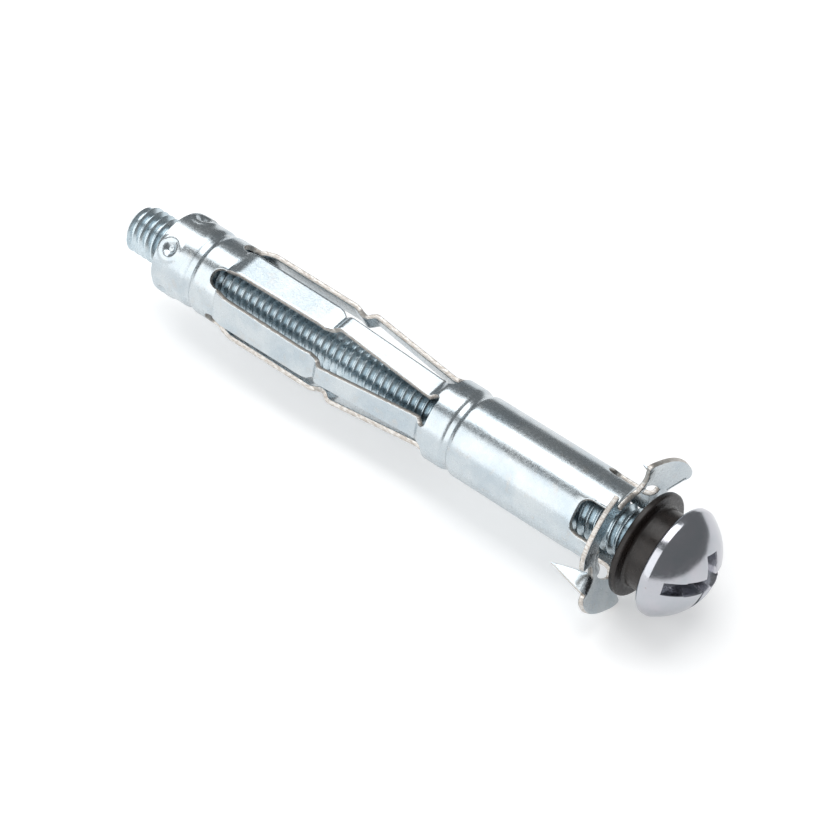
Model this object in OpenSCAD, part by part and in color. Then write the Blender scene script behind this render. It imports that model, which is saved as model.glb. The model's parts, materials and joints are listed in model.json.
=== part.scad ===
// Hollow-wall anchor with an M6 machine screw, built around the screw's axis.
// The axis is X and +X points at the screw's head. The origin lies on the axis,
// in the plane where the flange meets the wall, so the wall fills x < 0.
// The sleeve is one piece of sheet steel on the real anchor. It is split here
// along its bend lines, so that its five legs can fold outward behind the wall.

/* [Sleeve] */
// Length of the sleeve behind the flange
sleeve_len = 65; // [63:0.5:68]
// Outer diameter of the collar and of the tail ring
tube_d = 10; // [9.9:0.05:10.1]
// Thickness of the sheet steel
sheet = 0.6; // [0.5:0.05:0.6]
// Distance from the flange to the groove around the collar
groove_x = 21.2; // [18:0.1:21.6]
// Depth of the groove around the collar
groove_depth = 0.25; // [0.1:0.05:0.3]
// Distance from the groove around the tail ring to the end of the sleeve
tail_groove_x = 5.2; // [4.5:0.1:5.6]
// Diameter of the five dimples that stake the nut insert
stake_d = 2; // [1.4:0.1:2.2]

/* [Legs] */
// Distance from the flange to the bend where a leg leaves the collar
front_bend_x = 25.6; // [25:0.1:26]
// Length of a leg half, from bend to bend
half_len = 14.8; // [14.4:0.1:14.8]
// Distance from the axis to the bends at the collar and at the tail ring
bend_r = 4.5; // [4.4:0.05:4.6]
// Distance from the axis to the elbow's bend
elbow_r = 4.75; // [4.7:0.05:4.8]
// Width of the front half of a leg
front_w = 2.4; // [2:0.1:2.5]
// Width of the rear half of a leg
rear_w = 3.4; // [3:0.1:3.6]
// Distance from the axis to the front half's outer face, at the elbow
front_crest_r = 5.82; // [5.7:0.02:6]
// Distance from the axis to the rear half's outer face
rear_face_r = 5.36; // [5.34:0.02:5.5]

/* [Flange] */
// Radius of the two large petals
large_petal_r = 9.4; // [8.8:0.1:9.6]
// Radius of the two small petals
small_petal_r = 8.5; // [8:0.1:8.7]
// Length of a spike that bites into the wall
spike_len = 4.3; // [3:0.1:5]
// Angle that a spike is folded back from the flange
spike_fold = 65; // [55:1:75]

/* [Screw] */
// Major diameter of the thread
screw_d = 6; // [5.9:0.05:6]
// Distance that the screw's head stands in front of the wall face
head_x = 6.2; // [5.6:0.1:6.8]
// Length of the screw under its head
screw_len = 77.8; // [74:0.2:80]
// Diameter of the domed head
head_d = 12.8; // [12:0.1:13]
// Height of the domed head
head_h = 5.2; // [4.4:0.1:5.4]
// Height of the head's upright rim
head_rim_h = 0.9; // [0.7:0.1:1.4]
// Width of the driver slot
slot_w = 1.5; // [1.2:0.1:1.6]
// Depth of the driver slot below the top of the dome
slot_depth = 2.6; // [2:0.1:2.8]
// Depth of the cross recess below the top of the dome
cross_depth = 3.6; // [3:0.1:4]
// Width across the wings of the cross recess
cross_span = 6.6; // [5:0.1:7]

/* [Washer] */
// Diameter of the washer
washer_d = 12.4; // [11.4:0.1:12.6]
// Thickness of the washer's disc
washer_t = 0.8; // [0.6:0.1:1]
// Diameter of the washer's hub
hub_d = 9.5; // [8.5:0.1:10]
// Height of the washer's hub
hub_h = 2.8; // [2:0.1:3]
// Diameter of the washer's hole
washer_hole_d = 6.2; // [6.1:0.05:6.4]

/* [Nut insert] */
// Length of the nut insert
nut_len = 7; // [6:0.1:7.2]
// Bore of the nut insert, over the crests of the screw's thread
nut_bore_d = 6.1; // [6.08:0.01:6.2]

/* [Hidden] */
$fn = 64;

ZINC = "lightsteelblue";
BROWN = "#3a2a24";

// Overshoot of a cut past the face that it opens.
over = 1;

tube_r = tube_d / 2;
bore_r = tube_r - sheet;

// The legs turn on round edges as thick as the sheet, clear of their seats.
barrel_r = sheet / 2;
seat_gap = 0.05;
elbow_x = front_bend_x + half_len;
rear_bend_x = elbow_x + half_len;
collar_end = front_bend_x - barrel_r - seat_gap;
tail_front = rear_bend_x + barrel_r + seat_gap;

// The legs stand evenly around the axis, from the first one's angle.
LEG_ANGLES = [21, 93, 165, 237, 309];

// The slots between the legs run on into the collar and into the tail ring.
GAP_ANGLES = [for (a = LEG_ANGLES) a + 36];
collar_slot_w = 3.7;
collar_slot_x = 24.2;
tail_slot_w = 2.3;
tail_slot_x = 56.8;

// Where a leg half changes its slope: the valley behind the collar, the crest in
// front of the elbow and the step in front of the tail ring.
valley_x = front_bend_x + 1;
valley_r = 4.3;
crest_x = elbow_x - 1.5;
step_x = rear_bend_x - 1;

// The flange's petals, and the tube's windows behind them, each as a start angle
// and an end angle from +Y toward +Z. A window's third value is its length.
LARGE_PETALS = [[15, 74], [195, 254]];
SMALL_PETALS = [[110, 166], [290, 346]];
BRIDGES = [[160, 205], [340, 385]];
bridge_r = 6.6;
WINDOWS = [[25, 65, 4.6], [115, 166, 3.9], [205, 245, 4.6], [295, 346, 3.9]];
SPIKE_ANGLES = [15, 195];
spike_root_r = 6.5;
spike_root_w = 2.3;

groove_w = 1.5;
tail_groove_w = 1;
tail_groove_depth = 0.15;
stake_x = 1.6;
stake_depth = 0.35;

// The nut insert lies just inside the end of the sleeve.
nut_end = sleeve_len - 0.4;
nut_bore_r = nut_bore_d / 2;

// The hub bears on the head, but for a running gap.
head_gap = 0.02;
hub_front = head_x - head_gap;
disc_front = hub_front - hub_h;

screw_r = screw_d / 2;
head_r = head_d / 2;
head_top = head_x + head_h;
dome_h = head_h - head_rim_h;
dome_r = (head_r * head_r + dome_h * dome_h) / (2 * dome_h);
tip_chamfer = 0.8;
driver_angle = 160;
wing_w = 1.7;

// A round bar along the axis, from x0 to x1.
module bar(x0, x1, r) {
    translate([x0, 0, 0])
        rotate([0, 90, 0])
            cylinder(h = x1 - x0, r = r);
}

// A wedge of the space about the axis, between two angles from +Y toward +Z.
module wedge(a0, a1, x0, x1, r) {
    far = (r + over) / cos((a1 - a0) / 2);
    translate([x0, 0, 0])
        rotate([90, 0, 90])
            linear_extrude(height = x1 - x0)
                polygon([[0, 0],
                    [far * cos(a0), far * sin(a0)],
                    [far * cos(a1), far * sin(a1)]]);
}

// A sector of the flange's plate, which lies across the axis.
module plate_sector(span, r) {
    intersection() {
        difference() {
            bar(0, sheet, r);
            bar(-over, sheet + over, bore_r);
        }
        wedge(span[0], span[1], -over, sheet + over, r);
    }
}

// A cut with sloping sides around a tube of radius r, at a distance from the flange.
module groove_cut(distance, r, depth, w) {
    rotate([0, -90, 0])
        rotate_extrude()
            polygon([[r - depth, distance - w / 4],
                [r - depth, distance + w / 4],
                [r + depth, distance + 3 * w / 4],
                [r + depth, distance - 3 * w / 4]]);
}

// A spike, lanced from the flange and folded back toward the wall.
module spike(a) {
    rotate([a, 0, 0])
        translate([sheet / 2, spike_root_r, 0])
            rotate([0, spike_fold - 90, 0])
                linear_extrude(height = sheet)
                    polygon([[0, 0],
                        [-spike_len - sheet / 2, spike_root_w * 0.6],
                        [0, spike_root_w]]);
}

// The tube behind the flange, with its windows, groove and the front slot ends.
module collar_tube() {
    difference() {
        bar(-collar_end, 0, tube_r);
        bar(-collar_end - over, over, bore_r);
        groove_cut(groove_x, tube_r, groove_depth, groove_w);
        for (w = WINDOWS)
            wedge(w[0], w[1], -w[2], over, tube_r);
        for (a = GAP_ANGLES)
            rotate([a, 0, 0])
                translate([-collar_end - over, 0, -collar_slot_w / 2])
                    cube([collar_end + over - collar_slot_x, tube_r + over, collar_slot_w]);
    }
}

module collar() {
    color(ZINC) {
        collar_tube();
        for (span = LARGE_PETALS)
            plate_sector(span, large_petal_r);
        for (span = SMALL_PETALS)
            plate_sector(span, small_petal_r);
        for (span = BRIDGES)
            plate_sector(span, bridge_r);
        for (a = SPIKE_ANGLES)
            spike(a);
    }
}

// The round edge that a leg half turns on, across the leg.
module barrel(x, r, w) {
    translate([-x, r, 0])
        cylinder(h = w, r = barrel_r, center = true);
}

// A strip of sheet with the given outer line, whose points are distances from the
// flange and from the axis.
module strip(line, w) {
    outer = [for (p = line) [-p[0], p[1]]];
    inner = [for (i = [len(line) - 1:-1:0]) [-line[i][0], line[i][1] - sheet]];
    linear_extrude(height = w, center = true)
        polygon(concat(outer, inner));
}

module leg_front(a) {
    color(ZINC)
        rotate([a, 0, 0]) {
            strip([[front_bend_x, bend_r + barrel_r],
                [valley_x, valley_r],
                [crest_x, front_crest_r],
                [elbow_x, elbow_r + barrel_r]], front_w);
            barrel(front_bend_x, bend_r, front_w);
            barrel(elbow_x, elbow_r, front_w);
        }
}

module leg_rear(a) {
    color(ZINC)
        rotate([a, 0, 0]) {
            difference() {
                strip([[elbow_x + seat_gap, rear_face_r],
                    [step_x, rear_face_r],
                    [rear_bend_x, bend_r + barrel_r]], rear_w);
                translate([-elbow_x, elbow_r, 0])
                    cylinder(h = rear_w + over, r = barrel_r + seat_gap, center = true);
            }
            barrel(rear_bend_x, bend_r, rear_w);
        }
}

module tail_ring() {
    color(ZINC)
        difference() {
            bar(-sleeve_len, -tail_front, tube_r);
            bar(-sleeve_len - over, over - tail_front, bore_r);
            groove_cut(sleeve_len - tail_groove_x, tube_r, tail_groove_depth, tail_groove_w);
            for (a = GAP_ANGLES)
                rotate([a, 0, 0]) {
                    translate([tail_slot_w / 2 - tail_slot_x, 0, -tail_slot_w / 2])
                        cube([tail_slot_x, tube_r + over, tail_slot_w]);
                    translate([tail_slot_w / 2 - tail_slot_x, 0, 0])
                        rotate([-90, 0, 0])
                            cylinder(h = tube_r + over, r = tail_slot_w / 2);
                    translate([stake_x - sleeve_len, tube_r - stake_depth, 0])
                        rotate([-90, 0, 0])
                            cylinder(h = stake_depth + over, r = stake_d / 2);
                }
        }
}

module nut_insert() {
    color(ZINC)
        difference() {
            bar(-nut_end, nut_len - nut_end, bore_r);
            bar(-nut_end - over, nut_len - nut_end + over, nut_bore_r);
        }
}

module washer() {
    color(BROWN)
        difference() {
            union() {
                bar(disc_front - washer_t, disc_front, washer_d / 2);
                bar(disc_front, hub_front, hub_d / 2);
            }
            bar(disc_front - washer_t - over, hub_front + over, washer_hole_d / 2);
        }
}

// The slot and the cross that the screwdriver turns.
module driver_recess() {
    translate([head_top - slot_depth, -head_d, -slot_w / 2])
        cube([head_h, 2 * head_d, slot_w]);
    for (a = [0, 90])
        rotate([a, 0, 0])
            translate([head_top - cross_depth, -cross_span / 2, -wing_w / 2])
                cube([head_h, cross_span, wing_w]);
}

module screw() {
    color(ZINC) {
        bar(head_x - screw_len + tip_chamfer, head_x + over, screw_r);
        translate([head_x - screw_len, 0, 0])
            rotate([0, 90, 0])
                cylinder(h = tip_chamfer, r1 = screw_r - tip_chamfer, r2 = screw_r);
        difference() {
            intersection() {
                bar(head_x, head_top + over, head_r);
                translate([head_top - dome_r, 0, 0])
                    rotate([0, 90, 0])
                        sphere(r = dome_r);
            }
            rotate([driver_angle, 0, 0])
                driver_recess();
        }
    }
}

collar();
leg_front(LEG_ANGLES[0]);  // leg_1_front
leg_front(LEG_ANGLES[1]);  // leg_2_front
leg_front(LEG_ANGLES[2]);  // leg_3_front
leg_front(LEG_ANGLES[3]);  // leg_4_front
leg_front(LEG_ANGLES[4]);  // leg_5_front
leg_rear(LEG_ANGLES[0]);  // leg_1_rear
leg_rear(LEG_ANGLES[1]);  // leg_2_rear
leg_rear(LEG_ANGLES[2]);  // leg_3_rear
leg_rear(LEG_ANGLES[3]);  // leg_4_rear
leg_rear(LEG_ANGLES[4]);  // leg_5_rear
tail_ring();
nut_insert();
washer();
screw();
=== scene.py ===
import json
import math

import bmesh
import bpy
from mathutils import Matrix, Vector
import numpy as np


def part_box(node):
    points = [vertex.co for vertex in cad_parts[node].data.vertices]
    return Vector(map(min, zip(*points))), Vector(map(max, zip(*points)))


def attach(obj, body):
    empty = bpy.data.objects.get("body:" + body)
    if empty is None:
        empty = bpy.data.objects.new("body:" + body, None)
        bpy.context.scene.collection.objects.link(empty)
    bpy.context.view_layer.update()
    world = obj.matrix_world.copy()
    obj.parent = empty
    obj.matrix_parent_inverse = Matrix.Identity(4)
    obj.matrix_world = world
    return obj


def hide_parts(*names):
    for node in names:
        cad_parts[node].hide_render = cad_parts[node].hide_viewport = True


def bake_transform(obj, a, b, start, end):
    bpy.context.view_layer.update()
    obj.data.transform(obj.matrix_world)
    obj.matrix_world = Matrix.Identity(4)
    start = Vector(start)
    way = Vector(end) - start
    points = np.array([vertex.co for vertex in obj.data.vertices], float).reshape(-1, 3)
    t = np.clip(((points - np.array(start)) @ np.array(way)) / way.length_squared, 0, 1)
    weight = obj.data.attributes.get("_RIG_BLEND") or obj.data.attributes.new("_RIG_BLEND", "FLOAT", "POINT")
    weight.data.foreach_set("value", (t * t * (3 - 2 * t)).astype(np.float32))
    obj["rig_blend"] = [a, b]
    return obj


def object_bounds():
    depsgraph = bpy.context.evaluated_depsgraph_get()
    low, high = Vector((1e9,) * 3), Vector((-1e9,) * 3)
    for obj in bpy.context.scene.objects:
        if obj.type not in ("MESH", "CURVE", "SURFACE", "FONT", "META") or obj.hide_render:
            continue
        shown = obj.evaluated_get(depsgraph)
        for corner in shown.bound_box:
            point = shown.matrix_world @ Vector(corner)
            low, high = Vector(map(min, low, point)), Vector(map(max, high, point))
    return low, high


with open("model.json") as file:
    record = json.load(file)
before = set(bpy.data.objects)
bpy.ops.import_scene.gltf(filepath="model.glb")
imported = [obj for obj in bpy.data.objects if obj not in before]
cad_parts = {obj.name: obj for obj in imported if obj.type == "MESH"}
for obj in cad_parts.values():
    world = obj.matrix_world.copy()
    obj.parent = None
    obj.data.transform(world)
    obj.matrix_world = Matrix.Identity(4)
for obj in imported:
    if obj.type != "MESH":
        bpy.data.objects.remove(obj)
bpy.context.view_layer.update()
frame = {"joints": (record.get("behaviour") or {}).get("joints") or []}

# Lengths are in millimetres up to the meshes, which are in metres. Along the sleeve,
# s is the distance behind the flange's wall face, so x = -s. An angle about the axis
# runs from +Y toward +Z.
MM = 0.001
JOINTS = {joint["name"]: joint for joint in frame["joints"]}


def hinge_s(name):
    """A hinge's distance behind the flange."""
    return -JOINTS[name]["pos_m"][0] / MM


def reach(node):
    """The lowest and the highest x of a CAD node."""
    low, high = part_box(node)
    return low[0] / MM, high[0] / MM


def radius(node):
    low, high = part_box(node)
    return (high[2] - low[2]) / 2 / MM


FRONT_S = hinge_s("legs_fold")
ELBOW_S = hinge_s("leg_1_elbow")
REAR_S = hinge_s("tail_bend")
TIP_X, HEAD_TOP = reach("screw")
DISC_BACK, HUB_FRONT = reach("washer")
SLEEVE_END = -reach("tail_ring")[0]
NUT_BACK, NUT_FRONT = reach("nut_insert")
TUBE_R = radius("tail_ring")
SHEET = 0.6
HALF = SHEET / 2
MID_R = TUBE_R - HALF
# How far the sheet's cut edges are rounded.
EDGE_ROUND = 0.09

# The legs' stretches: where they leave the collar, where each piece ends, and where
# they join the tail ring.
LEG_START = 24.2
FRONT_SPLIT = 33.0
REAR_SPLIT = 48.5
RING_START = 56.8


def lerp_line(points, s):
    """The value at s of a line through points, level beyond its ends."""
    if s <= points[0][0]:
        return points[0][1]
    for (s0, v0), (s1, v1) in zip(points, points[1:]):
        if s <= s1:
            return v0 + (v1 - v0) * (s - s0) / (s1 - s0)
    return points[-1][1]


def soft_line(points, s, spread=0.3):
    """The same line with its corners rounded over the spread to each side."""
    steps = 8
    shares = [spread * (2 * i / steps - 1) for i in range(steps + 1)]
    return sum(lerp_line(points, s + d) for d in shares) / (steps + 1)


# ---------------------------------------------------------------- sheet-metal surfaces

LEGS = 5
FIRST_LEG = math.degrees(math.atan2(*JOINTS["legs_fold"]["pos_m"][:0:-1]))
SECTOR = 360 / LEGS

# Outer face of a leg, as distances from the axis.
LEG_LINE = [
    (24.6, 5.0), (25.6, 4.25), (26.2, 4.25), (38.9, 5.8), (39.7, 4.98),
    (40.1, 4.98), (41.3, 5.36), (53.6, 5.36), (55.0, 4.95), (55.4, 5.0),
]
# How flat a leg is across, from 0 on the tube to 1 on the legs.
FLAT_LINE = [(24.4, 0), (25.5, 1), (54.9, 1), (55.3, 0)]
# Half of a leg's width, apart from its rounded roots.
WIDTH_LINE = [(25.6, 1.42), (38.9, 1.05), (39.6, 1.05), (40.7, 1.65), (55.2, 1.8)]
HALF_SECTOR = math.pi / LEGS * MID_R


def half_width(s):
    """Half of the width of a leg, with the round ends of the slots beside it."""
    relief_end, relief_half, corner = 25.1, 1.9, 0.6
    slot_half = 1.15
    if s < relief_end:
        run = max(0.0, LEG_START + corner - s)
        root = HALF_SECTOR - relief_half + corner
        return root - math.sqrt(max(0, corner**2 - run**2))
    slot_centre = RING_START - slot_half
    if s > slot_centre:
        run = min(slot_half, s - slot_centre)
        return HALF_SECTOR - math.sqrt(slot_half**2 - run**2)
    return lerp_line([(relief_end, HALF_SECTOR - relief_half)] + WIDTH_LINE, s)


def leg_surface(angle):
    """The middle surface of a leg, at a distance s along it and u across it."""
    ca, sa = math.cos(math.radians(angle)), math.sin(math.radians(angle))

    def point(s, u):
        curl = (1 - soft_line(FLAT_LINE, s, 0.15)) / MID_R
        across = math.sin(u * curl) / curl if curl > 1e-6 else u
        drop = (1 - math.cos(u * curl)) / curl if curl > 1e-6 else 0.0
        r = soft_line(LEG_LINE, s) - HALF - drop
        return Vector((-s, r * ca - across * sa, r * sa + across * ca))

    return point


# The groove around the collar and the one around the tail ring, as depths.
GROOVES = [(20.3, 0), (20.8, 0.3), (21.5, 0.3), (22.0, 0)]
TAIL_GROOVE = [(58.7, 0), (59.2, 0.26), (60.0, 0.26), (60.5, 0)]
# The bend from the tube out to the flange's plate. The plate leans forward, more in
# the large petals, which are the ones around 45 and 225 degrees.
BEND_MID = HALF + 0.6
LEAN_LINE = [(-20, 0.1), (12, 0.36), (74, 0.28), (92, 0.1), (160, 0.1)]
BEND_END = 0.6 - BEND_MID * math.pi / 2
PLATE_R = TUBE_R + 0.6


def plate_s(r):
    """The distance along the sheet, at which the plate has reached a radius."""
    return BEND_END - (r - PLATE_R)


def collar_surface(s, u):
    """The middle surface of the collar and the flange, at u degrees about the axis."""
    angle = math.radians(u)
    if s >= 0.6:
        x, r = -s, MID_R - soft_line(GROOVES, s, 0.2)
    elif s > BEND_END:
        turn = (0.6 - s) / BEND_MID
        x = BEND_MID * math.sin(turn) - 0.6
        r = PLATE_R - BEND_MID * math.cos(turn)
    else:
        lean = soft_line(LEAN_LINE, (u + 20) % 180 - 20, 8)
        out = BEND_END - s
        x, r = HALF + lean * max(0, out - 0.15), PLATE_R + out
    return Vector((x, r * math.cos(angle), r * math.sin(angle)))


def ring_surface(s, u):
    """The middle surface of the tail ring, with the dimples of its stakes."""
    angle = math.radians(u)
    off = (u - FIRST_LEG - SECTOR / 2) % SECTOR
    off = min(off, SECTOR - off)
    away = math.hypot(math.radians(off) * MID_R, s - (SLEEVE_END - 1.6))
    dimple = -0.42 * (1 - lerp_line([(0.45, 0), (0.95, 1)], away))
    rim = 0.16 * math.exp(-((away - 1.25) / 0.28) ** 2)
    r = MID_R - soft_line(TAIL_GROOVE, s, 0.15) + dimple + rim
    return Vector((-s, r * math.cos(angle), r * math.sin(angle)))


def offset_point(surface, s, u, side, du=0.02):
    """The point half a sheet from the middle surface: 1 is outside the tube and on the
    plate's wall side, and -1 is the other face."""
    along = surface(s + 0.02, u) - surface(s - 0.02, u)
    across = surface(s, u + du) - surface(s, u - du)
    normal = along.cross(across).normalized()
    return (surface(s, u) + normal * HALF * side) * MM


def new_object(name, bm, *materials):
    """An object of a finished mesh, shaded smooth and with its edges kept."""
    mesh = bpy.data.meshes.new(name)
    bmesh.ops.recalc_face_normals(bm, faces=bm.faces)
    bm.to_mesh(mesh)
    bm.free()
    mesh.polygons.foreach_set("use_smooth", [True] * len(mesh.polygons))
    for material in materials:
        mesh.materials.append(material)
    obj = bpy.data.objects.new(name, mesh)
    bpy.context.collection.objects.link(obj)
    return obj


def apply_modifiers(obj):
    """Puts what the modifiers make into the mesh itself."""
    bpy.context.view_layer.update()
    depsgraph = bpy.context.evaluated_depsgraph_get()
    obj.data = bpy.data.meshes.new_from_object(obj.evaluated_get(depsgraph))
    obj.modifiers.clear()


def finish_edges(obj, width=0.0):
    """Rounds the marked edges and keeps the other sharp ones sharp."""
    if width:
        bevel = obj.modifiers.new("round", "BEVEL")
        bevel.width = width * MM
        bevel.segments = 2
        bevel.limit_method = "WEIGHT"
        bevel.use_clamp_overlap = False
        apply_modifiers(obj)
    obj.data.set_sharp_from_angle(angle=math.radians(50))
    normals = obj.modifiers.new("normals", "WEIGHTED_NORMAL")
    normals.keep_sharp = True
    apply_modifiers(obj)


def sheet_mesh():
    """An empty mesh whose edges can be marked to be rounded."""
    bm = bmesh.new()
    bm.edges.layers.float.new("bevel_weight_edge")
    return bm


def mark_round(bm, edges):
    layer = bm.edges.layers.float["bevel_weight_edge"]
    for edge in edges:
        edge[layer] = 1.0


def spaced(start, end, step):
    count = max(1, round((end - start) / step))
    return [start + (end - start) * i / count for i in range(count + 1)]


def stations(start, end):
    """Places along a leg, close together where it bends."""
    fine = [(24.2, 27.0), (37.9, 42.1), (52.9, 56.8)]
    places = {start, end}
    for s in spaced(start, end, 0.75):
        if not any(low < s < high for low, high in fine):
            places.add(s)
    for low, high in fine:
        places.update(s for s in spaced(low, high, 0.1) if start <= s <= end)
    places = sorted(places)
    return [a for a, b in zip(places, places[1:]) if b - a > 0.03] + [places[-1]]


def strip(bm, surface, start, end):
    """A stretch of a leg as a closed piece of sheet."""
    columns = [i / 6 for i in range(-6, 7)]
    rows = []
    for s in stations(start, end):
        half = half_width(s)
        rows.append([
            [bm.verts.new(offset_point(surface, s, half * c, side)) for c in columns]
            for side in (1, -1)
        ])
    for row, after in zip(rows, rows[1:]):
        for side in (0, 1):
            for i in range(len(columns) - 1):
                bm.faces.new((row[side][i], row[side][i + 1],
                              after[side][i + 1], after[side][i]))
        for i in (0, -1):
            side = bm.faces.new((row[0][i], after[0][i], after[1][i], row[1][i]))
            side.material_index = 1
            mark_round(bm, [bm.edges.get((row[k][i], after[k][i])) for k in (0, 1)])
    for row in (rows[0], rows[-1]):
        for i in range(len(columns) - 1):
            bm.faces.new((row[0][i], row[0][i + 1], row[1][i + 1], row[1][i]))
    return rows


def leg_piece(name, angle, start, end, *materials):
    bm = sheet_mesh()
    strip(bm, leg_surface(angle), start, end)
    obj = new_object(name, bm, *materials)
    finish_edges(obj, EDGE_ROUND)
    return obj


# ------------------------------------------------------------------ the flange's outline


def spline(points, steps=5):
    """A smooth line through points, without its last point."""
    ends = [points[0]] + points + [points[-1]]
    line = []
    for a, b, c, d in zip(ends, ends[1:], ends[2:], ends[3:]):
        for k in range(steps):
            t = k / steps
            line.append(tuple(
                0.5 * (2 * q + (r - p) * t + (2 * p - 5 * q + 4 * r - w) * t * t
                       + (3 * q - p - 3 * r + w) * t**3)
                for p, q, r, w in zip(a, b, c, d)
            ))
    return line


# Half of the flange's outline as smooth runs of angles and radii, with corners where
# they meet: a gap, a small petal, a notch that a spike came from, and a large petal.
GAP_R = 5.15
OUTLINE_RUNS = [
    [(92, GAP_R), (104, GAP_R), (108.5, 5.5), (111, 6.3), (110.5, 7.4), (107.5, 8.7)],
    [(107.5, 8.7), (122, 8.6), (137, 8.55), (152, 8.6), (166, 8.7), (170, 8.4)],
    [(170, 8.4), (171, 7.6), (174, 6.8), (180, 6.5), (186, 6.5), (191, 6.6)],
    [(191, 6.6), (193.5, 7.2), (193.5, 8.0), (191.5, 8.8), (192, 9.4),
     (197, 9.7), (210, 9.6), (225, 9.4), (240, 9.3), (254, 9.4), (258, 9.2)],
    [(258, 9.2), (255, 8.2), (250.5, 7.0), (249, 6.1), (253, 5.5), (259, GAP_R), (272, GAP_R)],
]
# The openings in the tube under the petals: two angles and a length.
WINDOWS = [(115, 166, 3.9), (205, 242, 4.6), (295, 346, 3.9), (385, 422, 4.6)]
SPIKES = (13, 193)
SEAM = 92
V_SCALE = math.radians(1) * MID_R


def window_outline(start, end, length):
    """A window with round corners at its rear, as points of distance and angle."""
    corner = 1.1
    turn = math.degrees(corner / MID_R)
    front = plate_s(5.8)
    line = [(front, start)]
    for i in range(7):
        a = math.radians(15 * i)
        line.append((length - corner + corner * math.sin(a),
                     start + turn * (1 - math.cos(a))))
    for i in range(7):
        a = math.radians(15 * i)
        line.append((length - corner + corner * math.cos(a),
                     end - turn * (1 - math.sin(a))))
    return line + [(front, end)]


def flange_line():
    """The front edge of the sheet, once round the axis from the seam."""
    line = []
    for half_turn in (0, 180):
        for run in OUTLINE_RUNS:
            line += [(gap_s(r), a + half_turn) for a, r in spline(run)]
    return line + [(gap_s(GAP_R), SEAM + 360)]


def gap_s(r):
    """Like plate_s, but continued round the bend below the plate's inner radius."""
    if r >= PLATE_R:
        return plate_s(r)
    lean = math.acos((PLATE_R - r) / BEND_MID)
    return 0.6 - BEND_MID * lean


def closed_loop(bm, points):
    verts = [bm.verts.new((s, a * V_SCALE, 0)) for s, a in points]
    return [bm.edges.new(pair) for pair in zip(verts, verts[1:] + verts[:1])]


def cut_lines(bm, axis, places):
    """Cuts the flat sheet along lines of constant s or constant angle."""
    for place in places:
        bmesh.ops.bisect_plane(
            bm, geom=bm.verts[:] + bm.edges[:] + bm.faces[:], dist=1e-5,
            plane_co=[place * c for c in axis], plane_no=axis,
        )


def thicken(bm, surface, du, is_cut):
    """Wraps the flat sheet onto a surface and gives it its thickness."""
    bmesh.ops.remove_doubles(bm, verts=bm.verts, dist=0.05)
    flat = {v: (v.co.x, v.co.y / V_SCALE) for v in bm.verts}
    faces = [[flat[v] for v in f.verts] for f in bm.faces]
    made = {}

    def vert(s, a, side):
        key = (round(s, 4), round((a - SEAM) % 360, 3) % 360, side)
        if key not in made:
            made[key] = solid.verts.new(offset_point(surface, s, a, side, du))
        return made[key]

    solid = sheet_mesh()
    used = {}
    for corners in faces:
        outer = [vert(s, a, 1) for s, a in corners]
        inner = [vert(s, a, -1) for s, a in corners]
        if len(set(outer)) < len(outer):
            continue
        solid.faces.new(outer)
        solid.faces.new(inner[::-1])
        for i in range(len(outer)):
            j = (i + 1) % len(outer)
            key = frozenset((outer[i], outer[j]))
            rim = (outer[i], outer[j], inner[j], inner[i])
            used.setdefault(key, []).append((rim, corners[i], corners[j]))
    for sides in used.values():
        if len(sides) != 1:
            continue
        (a, b, c, d), first, second = sides[0]
        solid.faces.new((b, a, d, c)).material_index = 1
        if not (is_cut(first) and is_cut(second)):
            mark_round(solid, [solid.edges.get((a, b)), solid.edges.get((c, d))])
    bm.free()
    return solid


def spike(bm, angle):
    """A spike, folded back from the leaning plate about a radial line."""
    fold = math.radians(66)
    bend_r, length = 0.5, 4.4
    curl, thinning = 0.25, 0.45
    root_low, root_high = 6.35, 8.75
    tip_r, tip_width = 7.9, 0.08
    lean = lerp_line(LEAN_LINE, angle % 180)
    ca, sa = math.cos(math.radians(angle)), math.sin(math.radians(angle))
    radial, sideways, back = Vector((0, ca, sa)), Vector((0, sa, -ca)), Vector((-1, 0, 0))
    path = []
    for i in range(7):
        a = fold * i / 6
        path.append((bend_r * math.sin(a), bend_r * (1 - math.cos(a)), a, 0.0))
    x0, y0 = path[-1][:2]
    for i in range(1, 11):
        run = length * i / 10
        a = fold + curl * (i / 10)
        path.append((x0 + run * math.cos(a), y0 + run * math.sin(a), a, i / 10))
    rows = []
    for out, down, a, share in path:
        low = root_low + (tip_r - root_low) * share**0.9
        high = max(root_high + (tip_r - root_high) * share**1.6, low + tip_width)
        thick = HALF * (1 - thinning * share)
        centre = sideways * (out - HALF) + back * (down - HALF)
        normal = sideways * math.sin(a) - back * math.cos(a)
        rows.append([
            [bm.verts.new((centre + radial * r - back * lean * (r - PLATE_R)
                           + normal * thick * side) * MM)
             for r in (low + (high - low) * k / 4 for k in range(5))]
            for side in (1, -1)
        ])
    for row, after in zip(rows, rows[1:]):
        for side in (0, 1):
            for i in range(4):
                bm.faces.new((row[side][i], row[side][i + 1],
                              after[side][i + 1], after[side][i]))
        for i in (0, -1):
            side = bm.faces.new((row[0][i], after[0][i], after[1][i], row[1][i]))
            side.material_index = 1
            mark_round(bm, [bm.edges.get((row[k][i], after[k][i])) for k in (0, 1)])
    for row in (rows[0], rows[-1]):
        for i in range(4):
            bm.faces.new((row[0][i], row[0][i + 1], row[1][i + 1], row[1][i]))


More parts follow.
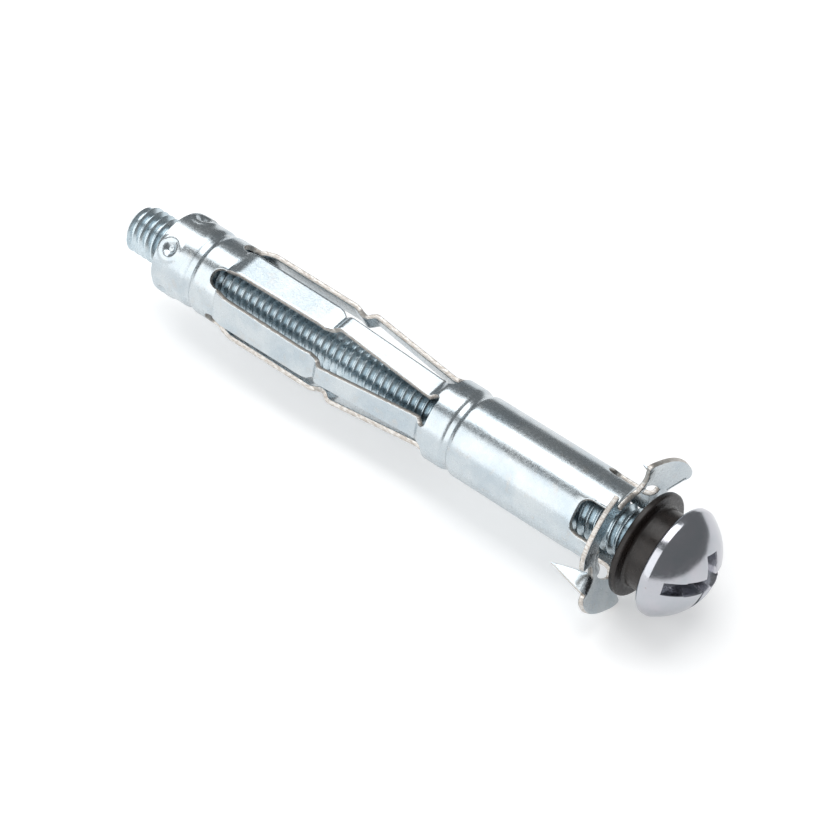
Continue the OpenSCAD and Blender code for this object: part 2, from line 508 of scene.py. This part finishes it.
def make_collar(*materials):
    bm = bmesh.new()
    outer = flange_line() + [(LEG_START, SEAM + 360), (LEG_START, SEAM)]
    edges = closed_loop(bm, outer)
    for window in WINDOWS:
        edges += closed_loop(bm, window_outline(*window))
    bmesh.ops.triangle_fill(bm, use_beauty=True, use_dissolve=False, edges=edges)
    cut_lines(bm, (0, 1, 0), [(SEAM + a) * V_SCALE for a in range(4, 360, 4)])
    rows = [-4.2, -3.6, -3.0, -2.4, -1.8, -1.2] + spaced(BEND_END, 0.6, 0.2)
    rows += spaced(1.2, 19.2, 1.2) + spaced(20.0, 22.3, 0.12) + [22.9, 23.5]
    cut_lines(bm, (1, 0, 0), rows)
    solid = thicken(bm, collar_surface, 0.3, lambda corner: corner[0] > LEG_START - 0.01)
    for angle in SPIKES:
        spike(solid, angle)
    obj = new_object("collar_and_flange", solid, *materials)
    finish_edges(obj, EDGE_ROUND)
    return obj


def make_ring(*materials):
    """The tail ring, with the roots of the legs that it doesn't bend with."""
    bm = sheet_mesh()
    angles = [3 * i for i in range(120)]
    places = spaced(RING_START, 58.3, 0.3) + spaced(58.4, 60.8, 0.12)
    places += spaced(61.0, SLEEVE_END - 3.1, 0.3) + spaced(SLEEVE_END - 3.0, SLEEVE_END, 0.1)
    rows = [[[bm.verts.new(offset_point(ring_surface, s, a, side, 0.3)) for a in angles]
             for side in (1, -1)] for s in places]
    count = len(angles)
    for row, after in zip(rows, rows[1:]):
        for side in (0, 1):
            for i in range(count):
                j = (i + 1) % count
                bm.faces.new((row[side][i], row[side][j], after[side][j], after[side][i]))
    for row in (rows[0], rows[-1]):
        for i in range(count):
            j = (i + 1) % count
            end = bm.faces.new((row[0][i], row[0][j], row[1][j], row[1][i]))
            end.material_index = 1
            if row is rows[-1]:
                mark_round(bm, [bm.edges.get((row[k][i], row[k][j])) for k in (0, 1)])
    for number in range(1, LEGS):
        surface = leg_surface(FIRST_LEG + number * SECTOR)
        strip(bm, surface, REAR_S + 0.02, RING_START)
    obj = new_object("tail_ring_shell", bm, *materials)
    finish_edges(obj, EDGE_ROUND)
    return obj


# ------------------------------------------------------------------------ turned pieces


def lathe(bm, profile, count):
    """A solid turned about the axis from a closed profile of x and radius."""
    rings = [[bm.verts.new(Vector((x, r * math.cos(a), r * math.sin(a))) * MM)
              for a in (2 * math.pi * i / count for i in range(count))]
             for x, r in profile]
    for ring, after in zip(rings, rings[1:] + rings[:1]):
        for i in range(count):
            j = (i + 1) % count
            bm.faces.new((ring[i], ring[j], after[j], after[i]))


def arc(x, r, size, start, end, steps=5):
    """Points of a round corner, about a centre at x and r."""
    return [(x + size * math.cos(math.radians(start + (end - start) * i / steps)),
             r + size * math.sin(math.radians(start + (end - start) * i / steps)))
            for i in range(steps + 1)]


def make_washer(material):
    disc_r, hub_r, hole_r, disc_t = radius("washer"), 4.75, 3.1, 0.8
    disc_front = DISC_BACK + disc_t
    profile = [(DISC_BACK + 0.1, hole_r)]
    profile += arc(DISC_BACK + 0.25, disc_r - 0.25, 0.25, 180, 90)
    profile += arc(disc_front - 0.25, disc_r - 0.25, 0.25, 90, 0)
    profile += [(disc_front + 0.02, hub_r + 0.5)]
    profile += arc(disc_front + 0.4, hub_r + 0.4, 0.4, 200, 270, 4)
    profile += arc(HUB_FRONT - 0.2, hub_r - 0.2, 0.2, 90, 0)
    profile += [(HUB_FRONT, hole_r)]
    bm = bmesh.new()
    lathe(bm, profile, 96)
    return new_object("dark_washer", bm, material)


def make_nut(material):
    outer_r, bore_r, chamfer = TUBE_R - SHEET, 3.05, 0.5
    profile = [(NUT_BACK, outer_r - 0.2), (NUT_BACK + 0.2, outer_r)]
    profile += [(NUT_FRONT - 0.2, outer_r), (NUT_FRONT, outer_r - 0.2)]
    profile += [(NUT_FRONT, bore_r + chamfer), (NUT_FRONT - chamfer, bore_r)]
    profile += [(NUT_BACK + chamfer, bore_r), (NUT_BACK, bore_r + chamfer)]
    bm = bmesh.new()
    lathe(bm, profile, 64)
    obj = new_object("nut_insert_body", bm, material)
    finish_edges(obj)
    return obj


# One turn of the M6 thread: shares of the pitch and radii.
PITCH = 1.0
ROOT_R = 2.4
THREAD = [(0.0, 2.97), (0.04, 3.0), (0.12, 3.0), (0.16, 2.97),
          (0.47, 2.44), (0.52, ROOT_R), (0.64, ROOT_R), (0.69, 2.44)]
UNDER_HEAD = HUB_FRONT + 0.02


def add_thread(bm):
    """A right-handed thread as one helical surface, chamfered at the tip."""
    columns, tip_r = 48, 2.25
    start, end = TIP_X, UNDER_HEAD + 0.3
    turns = math.ceil((end - start) / PITCH) + 3

    def vert(turn, share, r, column):
        x = start + (turn - 2 + share + column / columns) * PITCH
        x = min(max(x, start), end)
        r = min(r, tip_r + 1.1 * (x - start), ROOT_R + end - x)
        a = 2 * math.pi * column / columns
        return bm.verts.new(Vector((x, r * math.cos(a), r * math.sin(a))) * MM)

    rows = [[vert(turn, share, r, column) for column in range(columns)]
            for turn in range(turns) for share, r in THREAD]
    for i in range(len(rows) - len(THREAD) - 1):
        row, after = rows[i], rows[i + 1]
        row_on, after_on = rows[i + len(THREAD)], rows[i + len(THREAD) + 1]
        for a, b, c, d in zip(row, row[1:] + row_on[:1], after[1:] + after_on[:1], after):
            bm.faces.new((a, b, c, d))
    spare = [v for v in rows[-1] + rows[0] if not v.link_faces]
    bmesh.ops.delete(bm, geom=spare, context="VERTS")
    bmesh.ops.remove_doubles(bm, verts=bm.verts, dist=1e-8)
    bmesh.ops.holes_fill(bm, edges=bm.edges, sides=0)


# The head's driver: a slot across it and a cross in its middle, as depths below the top.
DRIVER_ANGLE = 160
SLOT_HALF, SLOT_DEPTH = 0.75, 2.6
WING_HALF, WING_REACH, WING_DEPTH = 0.85, 3.3, 3.6
LIP = 0.12
RIM_H = 0.9


def wall_drop(inside, steepness):
    """How far a recess has gone down, at a distance inside its edge."""
    if inside <= -LIP:
        return 0.0
    if inside <= 0:
        return LIP - math.sqrt(LIP**2 - (inside + LIP)**2)
    return LIP + steepness * inside


def head_top(v, w, dome_r):
    """The head's surface, at v along the slot and w across it."""
    dome = HEAD_TOP - dome_r + math.sqrt(dome_r**2 - v * v - w * w)
    x = min(dome, max(dome - wall_drop(SLOT_HALF - abs(w), 30), HEAD_TOP - SLOT_DEPTH))
    for along, across in ((v, w), (w, v)):
        drop = min(wall_drop(WING_HALF - abs(across), 9),
                   wall_drop(WING_REACH - abs(along), 1.7))
        x = min(x, max(dome - drop, HEAD_TOP - WING_DEPTH))
    return x


def add_head(bm):
    """The domed head, as a cap that carries the driver and a turned rim below it."""
    head_r = radius("screw")
    dome_h = HEAD_TOP - UNDER_HEAD - RIM_H
    dome_r = (head_r**2 + dome_h**2) / (2 * dome_h)
    cap_r = head_r - 0.5
    ring = [bm.verts.new((cap_r * math.cos(a), cap_r * math.sin(a), 0))
            for a in (2 * math.pi * i / 96 for i in range(96))]
    bm.faces.new(ring)
    lines = {i * 0.45 for i in range(13)}
    for edge in (SLOT_HALF, WING_HALF, WING_REACH):
        lines.update(edge - inside for inside in (-LIP, -0.06, -0.02, 0.0, 0.05, 0.1, 0.3))
    for place in sorted(lines | {-line for line in lines}):
        for axis in ((1, 0, 0), (0, 1, 0)):
            bmesh.ops.bisect_plane(
                bm, geom=bm.verts[:] + bm.edges[:] + bm.faces[:], dist=1e-5,
                plane_co=[place * c for c in axis], plane_no=axis,
            )
    rim = [v for v in bm.verts if v.is_boundary]
    rim.sort(key=lambda v: math.atan2(v.co.y, v.co.x))
    turn = math.radians(DRIVER_ANGLE)
    ct, st = math.cos(turn), math.sin(turn)
    angles = [math.atan2(v.co.y, v.co.x) + turn for v in rim]
    for vert in bm.verts:
        v, w = vert.co.x, vert.co.y
        x = head_top(v, w, dome_r)
        vert.co = Vector((x, v * ct - w * st, v * st + w * ct)) * MM
    lean = math.degrees(math.asin(cap_r / dome_r))
    corner = 0.8
    outline = arc(UNDER_HEAD + RIM_H - 0.1, head_r - corner, corner, lean + 4, 90, 6)
    outline += arc(UNDER_HEAD + 0.45, head_r - 0.45, 0.45, 90, 180, 5)
    above = rim
    for x, r in outline:
        below = [bm.verts.new(Vector((x, r * math.cos(a), r * math.sin(a))) * MM)
                 for a in angles]
        for a, b, c, d in zip(above, above[1:] + above[:1], below[1:] + below[:1], below):
            bm.faces.new((a, b, c, d))
        above = below
    bm.faces.new(above)


def make_screw(material):
    head, thread = bmesh.new(), bmesh.new()
    add_head(head)
    add_thread(thread)
    spare = bpy.data.meshes.new("thread")
    thread.to_mesh(spare)
    thread.free()
    head.from_mesh(spare)
    bpy.data.meshes.remove(spare)
    obj = new_object("machine_screw", head, material)
    finish_edges(obj)
    return obj


# --------------------------------------------------------------------------- materials


class Nodes:
    """A material's nodes, with the object's own coordinates to start from."""

    def __init__(self, name):
        self.material = bpy.data.materials.new(name)
        self.material.use_nodes = True
        self.tree = self.material.node_tree
        self.shader = self.tree.nodes["Principled BSDF"]
        self.place = self.tree.nodes.new("ShaderNodeTexCoord").outputs["Object"]

    def add(self, kind, **sockets):
        node = self.tree.nodes.new(kind)
        for name, value in sockets.items():
            self.put(node.inputs[name.replace("_", " ")], value)
        return node

    def put(self, socket, value):
        if isinstance(value, bpy.types.NodeSocket):
            self.tree.links.new(value, socket)
        else:
            socket.default_value = value

    def noise(self, size, detail=3.0, stretch=(1, 1, 1)):
        """Noise whose features are about this many millimetres across."""
        scaled = self.add("ShaderNodeMapping", Vector=self.place, Scale=stretch)
        node = self.add("ShaderNodeTexNoise", Vector=scaled.outputs[0],
                        Scale=1 / (size * MM), Detail=detail, Roughness=0.6)
        return node.outputs[0]

    def between(self, value, low, high, out_low=0.0, out_high=1.0):
        """The value mapped from one range to another, and kept within it."""
        node = self.tree.nodes.new("ShaderNodeMapRange")
        for socket, number in zip(node.inputs, (value, low, high, out_low, out_high)):
            self.put(socket, number)
        return node.outputs[0]

    def mix(self, share, first, second):
        node = self.tree.nodes.new("ShaderNodeMix")
        node.data_type = "RGBA"
        self.put(node.inputs[0], share)
        self.put(node.inputs[6], first)
        self.put(node.inputs[7], second)
        return node.outputs[2]

    def bump(self, height, depth, strength):
        node = self.add("ShaderNodeBump", Height=height, Distance=depth * MM,
                        Strength=strength)
        self.put(self.shader.inputs["Normal"], node.outputs[0])


def rgb(red, green, blue):
    return (red, green, blue, 1.0)


def zinc(name, light, tint, rough):
    """Bright zinc plating: clouded in colour, finely mottled, with brownish specks."""
    nodes = Nodes(name)
    cloud = nodes.between(nodes.noise(3.2), 0.36, 0.64)
    plate = nodes.mix(cloud, light, tint)
    warm = nodes.between(nodes.noise(1.6, 4.0), 0.56, 0.74, 0.0, 0.35)
    plate = nodes.mix(warm, plate, rgb(0.60, 0.52, 0.44))
    specks = nodes.between(nodes.noise(0.42, 2.0), 0.78, 0.84)
    nodes.put(nodes.shader.inputs["Base Color"], nodes.mix(specks, plate, rgb(0.20, 0.13, 0.09)))
    mottle = nodes.noise(0.28, 5.0)
    drawn = nodes.noise(0.25, 2.0, (0.06, 1, 1))
    nodes.put(nodes.shader.inputs["Roughness"],
              nodes.between(mottle, 0.3, 0.7, rough - 0.06, rough + 0.08))
    nodes.shader.inputs["Metallic"].default_value = 1.0
    height = nodes.mix(0.25, mottle, drawn)
    nodes.bump(height, 0.02, 0.35)
    return nodes.material


def screw_finish_with_painted_sheen(name):
    """The screw's zinc: pale blue and satin on the thread, bright on the head. The head's darker grey-violet
    tint is painted sheen on the same plating.
    """
    nodes = Nodes(name)
    split = nodes.add("ShaderNodeSeparateXYZ", Vector=nodes.place)
    on_head = nodes.between(split.outputs[0], (UNDER_HEAD - 0.3) * MM, UNDER_HEAD * MM)
    cloud = nodes.between(nodes.noise(2.6), 0.36, 0.64)
    shank = nodes.mix(cloud, rgb(0.60, 0.68, 0.72), rgb(0.44, 0.53, 0.58))
    # Painted sheen: the head's darker grey-violet tint stands for how the domed head catches the light. Its
    # plating is the same as the shank's.
    head = nodes.mix(cloud, rgb(0.47, 0.465, 0.50), rgb(0.42, 0.44, 0.47))
    specks = nodes.between(nodes.noise(0.5, 2.0), 0.74, 0.80)
    # Mixes the head's painted-sheen tint in over the head, past its underside.
    plate = nodes.mix(on_head, shank, head)
    nodes.put(nodes.shader.inputs["Base Color"], nodes.mix(specks, plate, rgb(0.22, 0.15, 0.11)))
    mottle = nodes.between(nodes.noise(0.28, 5.0), 0.3, 0.7, -0.05, 0.06)
    rough = nodes.between(on_head, 0, 1, 0.28, 0.17)
    total = nodes.add("ShaderNodeMath")
    nodes.put(total.inputs[0], rough)
    nodes.put(total.inputs[1], mottle)
    nodes.put(nodes.shader.inputs["Roughness"], total.outputs[0])
    nodes.shader.inputs["Metallic"].default_value = 1.0
    nodes.bump(nodes.noise(0.3, 4.0), 0.012, 0.3)
    return nodes.material


def sheared(name):
    """The sheet's cut edges: duller, warmer, and streaked across by the shears."""
    nodes = Nodes(name)
    streaks = nodes.between(nodes.noise(0.16, 3.0, (0.35, 1, 1)), 0.35, 0.65)
    color = nodes.mix(streaks, rgb(0.60, 0.59, 0.57), rgb(0.40, 0.36, 0.32))
    nodes.put(nodes.shader.inputs["Base Color"], color)
    nodes.put(nodes.shader.inputs["Roughness"], nodes.between(streaks, 0, 1, 0.34, 0.5))
    nodes.shader.inputs["Metallic"].default_value = 1.0
    nodes.bump(streaks, 0.02, 0.4)
    return nodes.material


def dark_finish(name):
    """The washer: glossy and dark brown, with a faint fine bump and some dust."""
    nodes = Nodes(name)
    cloud = nodes.between(nodes.noise(1.5), 0.35, 0.65)
    color = nodes.mix(cloud, rgb(0.009, 0.007, 0.006), rgb(0.020, 0.015, 0.013))
    dust = nodes.between(nodes.noise(0.3, 4.0), 0.62, 0.78, 0.0, 0.5)
    nodes.put(nodes.shader.inputs["Base Color"], nodes.mix(dust, color, rgb(0.06, 0.045, 0.038)))
    nodes.put(nodes.shader.inputs["Roughness"],
              nodes.between(nodes.noise(0.6, 4.0), 0.3, 0.7, 0.22, 0.42))
    nodes.shader.inputs["Specular IOR Level"].default_value = 0.35
    nodes.bump(nodes.noise(0.12, 4.0), 0.015, 0.3)
    return nodes.material


def paper(name):
    """The floor: matt and almost white."""
    nodes = Nodes(name)
    cloud = nodes.between(nodes.noise(60), 0.3, 0.7)
    nodes.put(nodes.shader.inputs["Base Color"],
              nodes.mix(cloud, rgb(0.86, 0.86, 0.86), rgb(0.88, 0.88, 0.88)))
    nodes.shader.inputs["Roughness"].default_value = 0.9
    nodes.shader.inputs["Specular IOR Level"].default_value = 0.1
    nodes.shader.inputs["Emission Color"].default_value = rgb(0.98, 0.99, 1.0)
    nodes.shader.inputs["Emission Strength"].default_value = 0.3
    return nodes.material


# ------------------------------------------------------------------- putting it together

sheet_zinc = zinc("zinc_sheet_plating", rgb(0.53, 0.57, 0.59), rgb(0.43, 0.49, 0.53), 0.24)
sheet_rim = sheared("sheared_sheet_rim")
screw_zinc = screw_finish_with_painted_sheen("zinc_screw_finish_with_painted_sheen")
nut_zinc = zinc("zinc_nut_plating", rgb(0.50, 0.56, 0.62), rgb(0.40, 0.48, 0.54), 0.26)
washer_dark = dark_finish("dark_washer_finish")


def on_axis(s):
    return (-s * MM, 0, 0)


def place(obj, slot, nodes, body=None, bend=None):
    """Hides the CAD nodes that a piece stands for, and gives the piece its body or the joint it bends at.
    The slot is not used.
    """
    if bend:
        first, second, start, end = bend
        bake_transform(obj, first, second, start=on_axis(start), end=on_axis(end))
    else:
        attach(obj, body)
    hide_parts(*nodes)


place(make_collar(sheet_zinc, sheet_rim), "zinc_sheet", ["collar"], body="sleeve")
place(make_ring(sheet_zinc, sheet_rim), "zinc_sheet", ["tail_ring"], body="tail")
place(make_nut(nut_zinc), "zinc_nut", ["nut_insert"], body="tail")
place(make_washer(washer_dark), "dark_washer", ["washer"], body="washer")
place(make_screw(screw_zinc), "zinc_screw", ["screw"], body="screw")

for number in range(1, LEGS + 1):
    leg, angle = f"leg_{number}", FIRST_LEG + (number - 1) * SECTOR
    front, rear = leg + "_front", leg + "_rear"
    piece = leg_piece(front + "_half", angle, LEG_START, FRONT_SPLIT, sheet_zinc, sheet_rim)
    place(piece, "zinc_sheet", [front],
          bend=("sleeve", front, FRONT_S - 0.6, FRONT_S + 0.6))
    piece = leg_piece(leg + "_elbow_bend", angle, FRONT_SPLIT, REAR_SPLIT,
                      sheet_zinc, sheet_rim)
    place(piece, "zinc_sheet", [front, rear], bend=(front, rear, ELBOW_S - 1, ELBOW_S + 1))
    if number == 1:
        piece = leg_piece(rear + "_half", angle, REAR_SPLIT, RING_START, sheet_zinc, sheet_rim)
        place(piece, "zinc_sheet", [rear],
              bend=(rear, "tail", REAR_S - 0.6, REAR_S + 0.6))
    else:
        piece = leg_piece(rear + "_half", angle, REAR_SPLIT, REAR_S, sheet_zinc, sheet_rim)
        place(piece, "zinc_sheet", [rear], body=rear)


# ------------------------------------------------------------------ floor, light, camera


def make_floor():
    bm = bmesh.new()
    bmesh.ops.create_grid(bm, x_segments=1, y_segments=1, size=6)
    floor = new_object("floor", bm, paper("floor_paper"))
    floor.location.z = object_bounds()[0].z - 0.0002


def softbox(name, angle, distance, width, length, x, radiance):
    """A softbox along the sleeve, at an angle about it from +Y toward +Z."""
    light = bpy.data.lights.new(name, "AREA")
    light.shape = "RECTANGLE"
    light.size, light.size_y = length, width
    light.energy = radiance * math.pi * length * width
    a = math.radians(angle)
    obj = bpy.data.objects.new(name, light)
    obj.location = (x, distance * math.cos(a), distance * math.sin(a))
    obj.rotation_euler = (a - math.pi / 2, 0, 0)
    bpy.context.collection.objects.link(obj)


def make_world(color, strength):
    world = bpy.data.worlds.new("studio")
    world.use_nodes = True
    background = world.node_tree.nodes["Background"]
    background.inputs["Color"].default_value = color
    background.inputs["Strength"].default_value = strength
    bpy.context.scene.world = world


def make_camera(azimuth, elevation, distance, aim_right, aim_up, lens):
    a, e = math.radians(azimuth), math.radians(elevation)
    back = Vector((math.sin(a) * math.cos(e), -math.cos(a) * math.cos(e), math.sin(e)))
    right = Vector((math.cos(a), math.sin(a), 0))
    up = back.cross(right)
    camera = bpy.data.cameras.new("camera")
    camera.lens, camera.sensor_width = lens, 36
    camera.clip_start, camera.clip_end = 0.01, 100
    obj = bpy.data.objects.new("camera", camera)
    obj.location = (right * aim_right + up * aim_up + back * distance) * MM
    obj.rotation_euler = (math.pi / 2 - e, 0, a)
    bpy.context.collection.objects.link(obj)
    bpy.context.scene.camera = obj


make_floor()
softbox("softbox_above", 80, 0.9, 0.72, 1.4, -0.45, 2.6)
softbox("softbox_side", 150, 0.9, 1.0, 1.6, -0.45, 1.7)
make_world(rgb(0.95, 0.98, 1.0), 0.24)
make_camera(40.6, 47.5, 287.22, -22.23, 12.27, 118)
bpy.context.scene.view_settings.view_transform = "Standard"
